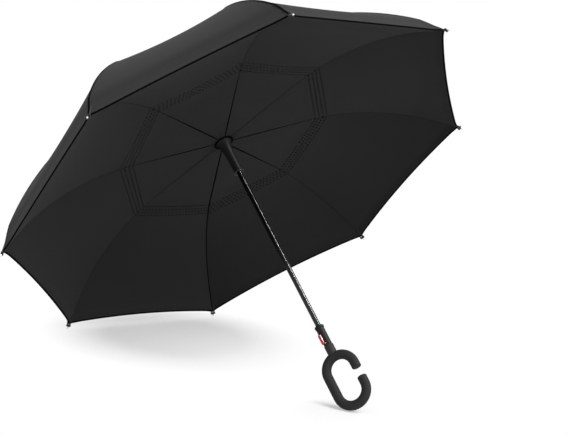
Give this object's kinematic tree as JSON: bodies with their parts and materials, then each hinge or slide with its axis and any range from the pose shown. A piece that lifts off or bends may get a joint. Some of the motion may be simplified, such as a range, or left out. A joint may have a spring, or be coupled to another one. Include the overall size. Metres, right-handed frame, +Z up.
{
  "type": "inverted umbrella",
  "caption": "Inverted umbrella with a double-layer canopy that folds inside out, jointed ribs and struts, a sliding runner, a push-button housing and a C-shaped grip.",
  "frame": {"origin": "on the floor, under the middle of the lying umbrella's footprint", "axes": "+Z up; the shaft lies in the YZ plane and leans back, with the handle toward -Y and the crown toward +Y and up; +X is across the canopy"},
  "size_m": [0.992, 0.7828, 0.7598],
  "materials": {
    "canopy_cloth": "matt woven polyester, black inside and dark grey outside",
    "glass_fibre": "satin dark glass fibre",
    "black_steel": "gloss black paint",
    "black_plastic": "satin black plastic",
    "soft_black_rubber": "matt soft-touch black",
    "red_plastic": "gloss red",
    "bright_metal": "bright steel wire"
  },
  "bodies": {
    "frame": {"shaft": "black_steel", "crown": "black_plastic", "crown_wire": "bright_metal", "crown_cap": "black_plastic", "button_housing": "black_plastic", "c_handle": "soft_black_rubber", "button_spring": "bright_metal"},
    "runner": {"runner_hub": "black_plastic", "runner_wire": "bright_metal", "runner_sleeve": "black_plastic", "runner_lip": "black_plastic"},
    "button": {"release_button": "red_plastic"},
    "main_rib_1_body": {"main_rib_1": "glass_fibre"},
    "bow_rib_1_body": {"bow_rib_1": "glass_fibre"},
    "strut_1_body": {"strut_1": "black_steel", "top_gore_1": "canopy_cloth"},
    "gore_1_left_body": {"gore_1_left": "canopy_cloth"},
    "gore_1_right_body": {"gore_1_right": "canopy_cloth"},
    "main_rib_2_body": {"main_rib_2": "glass_fibre"},
    "bow_rib_2_body": {"bow_rib_2": "glass_fibre"},
    "strut_2_body": {"strut_2": "black_steel", "top_gore_2": "canopy_cloth"},
    "gore_2_left_body": {"gore_2_left": "canopy_cloth"},
    "gore_2_right_body": {"gore_2_right": "canopy_cloth"},
    "main_rib_3_body": {"main_rib_3": "glass_fibre"},
    "bow_rib_3_body": {"bow_rib_3": "glass_fibre"},
    "strut_3_body": {"strut_3": "black_steel", "top_gore_3": "canopy_cloth"},
    "gore_3_left_body": {"gore_3_left": "canopy_cloth"},
    "gore_3_right_body": {"gore_3_right": "canopy_cloth"},
    "main_rib_4_body": {"main_rib_4": "glass_fibre"},
    "bow_rib_4_body": {"bow_rib_4": "glass_fibre"},
    "strut_4_body": {"strut_4": "black_steel", "top_gore_4": "canopy_cloth"},
    "gore_4_left_body": {"gore_4_left": "canopy_cloth"},
    "gore_4_right_body": {"gore_4_right": "canopy_cloth"},
    "main_rib_5_body": {"main_rib_5": "glass_fibre"},
    "bow_rib_5_body": {"bow_rib_5": "glass_fibre"},
    "strut_5_body": {"strut_5": "black_steel", "top_gore_5": "canopy_cloth"},
    "gore_5_left_body": {"gore_5_left": "canopy_cloth"},
    "gore_5_right_body": {"gore_5_right": "canopy_cloth"},
    "main_rib_6_body": {"main_rib_6": "glass_fibre"},
    "bow_rib_6_body": {"bow_rib_6": "glass_fibre"},
    "strut_6_body": {"strut_6": "black_steel", "top_gore_6": "canopy_cloth"},
    "gore_6_left_body": {"gore_6_left": "canopy_cloth"},
    "gore_6_right_body": {"gore_6_right": "canopy_cloth"},
    "main_rib_7_body": {"main_rib_7": "glass_fibre"},
    "bow_rib_7_body": {"bow_rib_7": "glass_fibre"},
    "strut_7_body": {"strut_7": "black_steel", "top_gore_7": "canopy_cloth"},
    "gore_7_left_body": {"gore_7_left": "canopy_cloth"},
    "gore_7_right_body": {"gore_7_right": "canopy_cloth"},
    "main_rib_8_body": {"main_rib_8": "glass_fibre"},
    "bow_rib_8_body": {"bow_rib_8": "glass_fibre"},
    "strut_8_body": {"strut_8": "black_steel", "top_gore_8": "canopy_cloth"},
    "gore_8_left_body": {"gore_8_left": "canopy_cloth"},
    "gore_8_right_body": {"gore_8_right": "canopy_cloth"}
  },
  "joints": [
    {"name": "runner_slide", "type": "slide", "parent": "frame", "child": "runner", "axis": [0, -0.7483, -0.6634], "range_m": [0, 0.394], "stiffness_N_per_m": 40, "springref_m": -0.2, "deforming": ["gore_1_left", "gore_1_right", "top_gore_1", "gore_2_left", "gore_2_right", "top_gore_2", "gore_3_left", "gore_3_right", "top_gore_3", "gore_4_left", "gore_4_right", "top_gore_4", "gore_5_left", "gore_5_right", "top_gore_5", "gore_6_left", "gore_6_right", "top_gore_6", "gore_7_left", "gore_7_right", "top_gore_7", "gore_8_left", "gore_8_right", "top_gore_8"]},
    {"name": "button_press", "type": "slide", "parent": "frame", "child": "button", "axis": [0.9781, -0.1379, 0.1556], "range_m": [0, 0.002], "stiffness_N_per_m": 700, "springref_m": -0.001, "deforming": ["button_spring"]},
    {"name": "main_rib_1_hinge", "type": "hinge", "parent": "runner", "child": "main_rib_1_body", "pos_m": [-0.00612, 0.12838, 0.44547], "axis": [0.9239, 0.2539, -0.2864], "range_deg": [0, 90.63]},
    {"name": "strut_1_hinge", "type": "hinge", "parent": "frame", "child": "strut_1_body", "pos_m": [-0.00612, 0.21571, 0.52289], "axis": [0.9239, 0.2539, -0.2864], "range_deg": [-83.73, 0]},
    {"name": "bow_rib_1_hinge", "type": "hinge", "parent": "main_rib_1_body", "child": "bow_rib_1_body", "pos_m": [-0.20282, 0.35023, 0.00754], "axis": [0.9239, 0.2539, -0.2864], "range_deg": [0, 24.78]},
    {"name": "gore_1_left_fold", "type": "hinge", "parent": "main_rib_1_body", "child": "gore_1_left_body", "pos_m": [-0.00612, 0.12838, 0.44547], "axis": [-0.3719, 0.4195, -0.8281], "range_deg": [-51.52, 0]},
    {"name": "gore_1_right_fold", "type": "hinge", "parent": "main_rib_1_body", "child": "gore_1_right_body", "pos_m": [-0.00612, 0.12838, 0.44547], "axis": [-0.3719, 0.4195, -0.8281], "range_deg": [0, 51.52]},
    {"name": "main_rib_2_hinge", "type": "hinge", "parent": "runner", "child": "main_rib_2_body", "pos_m": [-0.01478, 0.12264, 0.45195], "axis": [0.3827, 0.6129, -0.6913], "range_deg": [0, 90.63]},
    {"name": "strut_2_hinge", "type": "hinge", "parent": "frame", "child": "strut_2_body", "pos_m": [-0.01478, 0.20996, 0.52937], "axis": [0.3827, 0.6129, -0.6913], "range_deg": [-83.73, 0]},
    {"name": "bow_rib_2_hinge", "type": "hinge", "parent": "main_rib_2_body", "child": "bow_rib_2_body", "pos_m": [-0.48966, 0.15996, 0.22217], "axis": [0.3827, 0.6129, -0.6913], "range_deg": [0, 24.78]},
    {"name": "gore_2_left_fold", "type": "hinge", "parent": "main_rib_2_body", "child": "gore_2_left_body", "pos_m": [-0.01478, 0.12264, 0.45195], "axis": [-0.8979, 0.0706, -0.4345], "range_deg": [-51.52, 0]},
    {"name": "gore_2_right_fold", "type": "hinge", "parent": "main_rib_2_body", "child": "gore_2_right_body", "pos_m": [-0.01478, 0.12264, 0.45195], "axis": [-0.8979, 0.0706, -0.4345], "range_deg": [0, 51.52]},
    {"name": "main_rib_3_hinge", "type": "hinge", "parent": "runner", "child": "main_rib_3_body", "pos_m": [-0.01478, 0.11451, 0.46112], "axis": [-0.3827, 0.6129, -0.6913], "range_deg": [0, 90.63]},
    {"name": "strut_3_hinge", "type": "hinge", "parent": "frame", "child": "strut_3_body", "pos_m": [-0.01478, 0.20184, 0.53853], "axis": [-0.3827, 0.6129, -0.6913], "range_deg": [-83.73, 0]},
    {"name": "bow_rib_3_hinge", "type": "hinge", "parent": "main_rib_3_body", "child": "bow_rib_3_body", "pos_m": [-0.48966, -0.10913, 0.52572], "axis": [-0.3827, 0.6129, -0.6913], "range_deg": [0, 24.78]},
    {"name": "gore_3_left_fold", "type": "hinge", "parent": "main_rib_3_body", "child": "gore_3_left_body", "pos_m": [-0.01478, 0.11451, 0.46112], "axis": [-0.8979, -0.4229, 0.1222], "range_deg": [-51.52, 0]},
    {"name": "gore_3_right_fold", "type": "hinge", "parent": "main_rib_3_body", "child": "gore_3_right_body", "pos_m": [-0.01478, 0.11451, 0.46112], "axis": [-0.8979, -0.4229, 0.1222], "range_deg": [0, 51.52]},
    {"name": "main_rib_4_hinge", "type": "hinge", "parent": "runner", "child": "main_rib_4_body", "pos_m": [-0.00612, 0.10877, 0.4676], "axis": [-0.9239, 0.2539, -0.2864], "range_deg": [0, 90.63]},
    {"name": "strut_4_hinge", "type": "hinge", "parent": "frame", "child": "strut_4_body", "pos_m": [-0.00612, 0.1961, 0.54501], "axis": [-0.9239, 0.2539, -0.2864], "range_deg": [-83.73, 0]},
    {"name": "bow_rib_4_hinge", "type": "hinge", "parent": "main_rib_4_body", "child": "bow_rib_4_body", "pos_m": [-0.20282, -0.29941, 0.74036], "axis": [-0.9239, 0.2539, -0.2864], "range_deg": [0, 24.78]},
    {"name": "gore_4_left_fold", "type": "hinge", "parent": "main_rib_4_body", "child": "gore_4_left_body", "pos_m": [-0.00612, 0.10877, 0.4676], "axis": [-0.3719, -0.7718, 0.5158], "range_deg": [-51.52, 0]},
    {"name": "gore_4_right_fold", "type": "hinge", "parent": "main_rib_4_body", "child": "gore_4_right_body", "pos_m": [-0.00612, 0.10877, 0.4676], "axis": [-0.3719, -0.7718, 0.5158], "range_deg": [0, 51.52]},
    {"name": "main_rib_5_hinge", "type": "hinge", "parent": "runner", "child": "main_rib_5_body", "pos_m": [0.00612, 0.10877, 0.4676], "axis": [-0.9239, -0.2539, 0.2864], "range_deg": [0, 90.63]},
    {"name": "strut_5_hinge", "type": "hinge", "parent": "frame", "child": "strut_5_body", "pos_m": [0.00612, 0.1961, 0.54501], "axis": [-0.9239, -0.2539, 0.2864], "range_deg": [-83.73, 0]},
    {"name": "bow_rib_5_hinge", "type": "hinge", "parent": "main_rib_5_body", "child": "bow_rib_5_body", "pos_m": [0.20282, -0.29941, 0.74036], "axis": [-0.9239, -0.2539, 0.2864], "range_deg": [0, 24.78]},
    {"name": "gore_5_left_fold", "type": "hinge", "parent": "main_rib_5_body", "child": "gore_5_left_body", "pos_m": [0.00612, 0.10877, 0.4676], "axis": [0.3719, -0.7718, 0.5158], "range_deg": [-51.52, 0]},
    {"name": "gore_5_right_fold", "type": "hinge", "parent": "main_rib_5_body", "child": "gore_5_right_body", "pos_m": [0.00612, 0.10877, 0.4676], "axis": [0.3719, -0.7718, 0.5158], "range_deg": [0, 51.52]},
    {"name": "main_rib_6_hinge", "type": "hinge", "parent": "runner", "child": "main_rib_6_body", "pos_m": [0.01478, 0.11451, 0.46112], "axis": [-0.3827, -0.6129, 0.6913], "range_deg": [0, 90.63]},
    {"name": "strut_6_hinge", "type": "hinge", "parent": "frame", "child": "strut_6_body", "pos_m": [0.01478, 0.20184, 0.53853], "axis": [-0.3827, -0.6129, 0.6913], "range_deg": [-83.73, 0]},
    {"name": "bow_rib_6_hinge", "type": "hinge", "parent": "main_rib_6_body", "child": "bow_rib_6_body", "pos_m": [0.48966, -0.10913, 0.52572], "axis": [-0.3827, -0.6129, 0.6913], "range_deg": [0, 24.78]},
    {"name": "gore_6_left_fold", "type": "hinge", "parent": "main_rib_6_body", "child": "gore_6_left_body", "pos_m": [0.01478, 0.11451, 0.46112], "axis": [0.8979, -0.4229, 0.1222], "range_deg": [-51.52, 0]},
    {"name": "gore_6_right_fold", "type": "hinge", "parent": "main_rib_6_body", "child": "gore_6_right_body", "pos_m": [0.01478, 0.11451, 0.46112], "axis": [0.8979, -0.4229, 0.1222], "range_deg": [0, 51.52]},
    {"name": "main_rib_7_hinge", "type": "hinge", "parent": "runner", "child": "main_rib_7_body", "pos_m": [0.01478, 0.12264, 0.45195], "axis": [0.3827, -0.6129, 0.6913], "range_deg": [0, 90.63]},
    {"name": "strut_7_hinge", "type": "hinge", "parent": "frame", "child": "strut_7_body", "pos_m": [0.01478, 0.20996, 0.52937], "axis": [0.3827, -0.6129, 0.6913], "range_deg": [-83.73, 0]},
    {"name": "bow_rib_7_hinge", "type": "hinge", "parent": "main_rib_7_body", "child": "bow_rib_7_body", "pos_m": [0.48966, 0.15996, 0.22217], "axis": [0.3827, -0.6129, 0.6913], "range_deg": [0, 24.78]},
    {"name": "gore_7_left_fold", "type": "hinge", "parent": "main_rib_7_body", "child": "gore_7_left_body", "pos_m": [0.01478, 0.12264, 0.45195], "axis": [0.8979, 0.0706, -0.4345], "range_deg": [-51.52, 0]},
    {"name": "gore_7_right_fold", "type": "hinge", "parent": "main_rib_7_body", "child": "gore_7_right_body", "pos_m": [0.01478, 0.12264, 0.45195], "axis": [0.8979, 0.0706, -0.4345], "range_deg": [0, 51.52]},
    {"name": "main_rib_8_hinge", "type": "hinge", "parent": "runner", "child": "main_rib_8_body", "pos_m": [0.00612, 0.12838, 0.44547], "axis": [0.9239, -0.2539, 0.2864], "range_deg": [0, 90.63]},
    {"name": "strut_8_hinge", "type": "hinge", "parent": "frame", "child": "strut_8_body", "pos_m": [0.00612, 0.21571, 0.52289], "axis": [0.9239, -0.2539, 0.2864], "range_deg": [-83.73, 0]},
    {"name": "bow_rib_8_hinge", "type": "hinge", "parent": "main_rib_8_body", "child": "bow_rib_8_body", "pos_m": [0.20282, 0.35023, 0.00754], "axis": [0.9239, -0.2539, 0.2864], "range_deg": [0, 24.78]},
    {"name": "gore_8_left_fold", "type": "hinge", "parent": "main_rib_8_body", "child": "gore_8_left_body", "pos_m": [0.00612, 0.12838, 0.44547], "axis": [0.3719, 0.4195, -0.8281], "range_deg": [-51.52, 0]},
    {"name": "gore_8_right_fold", "type": "hinge", "parent": "main_rib_8_body", "child": "gore_8_right_body", "pos_m": [0.00612, 0.12838, 0.44547], "axis": [0.3719, 0.4195, -0.8281], "range_deg": [0, 51.52]}
  ],
  "couplings": [
    {"joint": "main_rib_1_hinge", "follows": "runner_slide", "rad_per_m": 4.0141},
    {"joint": "strut_1_hinge", "follows": "runner_slide", "rad_per_m": -3.7083},
    {"joint": "bow_rib_1_hinge", "follows": "runner_slide", "rad_per_m": 1.0972},
    {"joint": "gore_1_left_fold", "follows": "runner_slide", "rad_per_m": -2.2816},
    {"joint": "gore_1_right_fold", "follows": "runner_slide", "rad_per_m": 2.2816},
    {"joint": "main_rib_2_hinge", "follows": "runner_slide", "rad_per_m": 4.0141},
    {"joint": "strut_2_hinge", "follows": "runner_slide", "rad_per_m": -3.7083},
    {"joint": "bow_rib_2_hinge", "follows": "runner_slide", "rad_per_m": 1.0972},
    {"joint": "gore_2_left_fold", "follows": "runner_slide", "rad_per_m": -2.2816},
    {"joint": "gore_2_right_fold", "follows": "runner_slide", "rad_per_m": 2.2816},
    {"joint": "main_rib_3_hinge", "follows": "runner_slide", "rad_per_m": 4.0141},
    {"joint": "strut_3_hinge", "follows": "runner_slide", "rad_per_m": -3.7083},
    {"joint": "bow_rib_3_hinge", "follows": "runner_slide", "rad_per_m": 1.0972},
    {"joint": "gore_3_left_fold", "follows": "runner_slide", "rad_per_m": -2.2816},
    {"joint": "gore_3_right_fold", "follows": "runner_slide", "rad_per_m": 2.2816},
    {"joint": "main_rib_4_hinge", "follows": "runner_slide", "rad_per_m": 4.0141},
    {"joint": "strut_4_hinge", "follows": "runner_slide", "rad_per_m": -3.7083},
    {"joint": "bow_rib_4_hinge", "follows": "runner_slide", "rad_per_m": 1.0972},
    {"joint": "gore_4_left_fold", "follows": "runner_slide", "rad_per_m": -2.2816},
    {"joint": "gore_4_right_fold", "follows": "runner_slide", "rad_per_m": 2.2816},
    {"joint": "main_rib_5_hinge", "follows": "runner_slide", "rad_per_m": 4.0141},
    {"joint": "strut_5_hinge", "follows": "runner_slide", "rad_per_m": -3.7083},
    {"joint": "bow_rib_5_hinge", "follows": "runner_slide", "rad_per_m": 1.0972},
    {"joint": "gore_5_left_fold", "follows": "runner_slide", "rad_per_m": -2.2816},
    {"joint": "gore_5_right_fold", "follows": "runner_slide", "rad_per_m": 2.2816},
    {"joint": "main_rib_6_hinge", "follows": "runner_slide", "rad_per_m": 4.0141},
    {"joint": "strut_6_hinge", "follows": "runner_slide", "rad_per_m": -3.7083},
    {"joint": "bow_rib_6_hinge", "follows": "runner_slide", "rad_per_m": 1.0972},
    {"joint": "gore_6_left_fold", "follows": "runner_slide", "rad_per_m": -2.2816},
    {"joint": "gore_6_right_fold", "follows": "runner_slide", "rad_per_m": 2.2816},
    {"joint": "main_rib_7_hinge", "follows": "runner_slide", "rad_per_m": 4.0141},
    {"joint": "strut_7_hinge", "follows": "runner_slide", "rad_per_m": -3.7083},
    {"joint": "bow_rib_7_hinge", "follows": "runner_slide", "rad_per_m": 1.0972},
    {"joint": "gore_7_left_fold", "follows": "runner_slide", "rad_per_m": -2.2816},
    {"joint": "gore_7_right_fold", "follows": "runner_slide", "rad_per_m": 2.2816},
    {"joint": "main_rib_8_hinge", "follows": "runner_slide", "rad_per_m": 4.0141},
    {"joint": "strut_8_hinge", "follows": "runner_slide", "rad_per_m": -3.7083},
    {"joint": "bow_rib_8_hinge", "follows": "runner_slide", "rad_per_m": 1.0972},
    {"joint": "gore_8_left_fold", "follows": "runner_slide", "rad_per_m": -2.2816},
    {"joint": "gore_8_right_fold", "follows": "runner_slide", "rad_per_m": 2.2816}
  ]
}
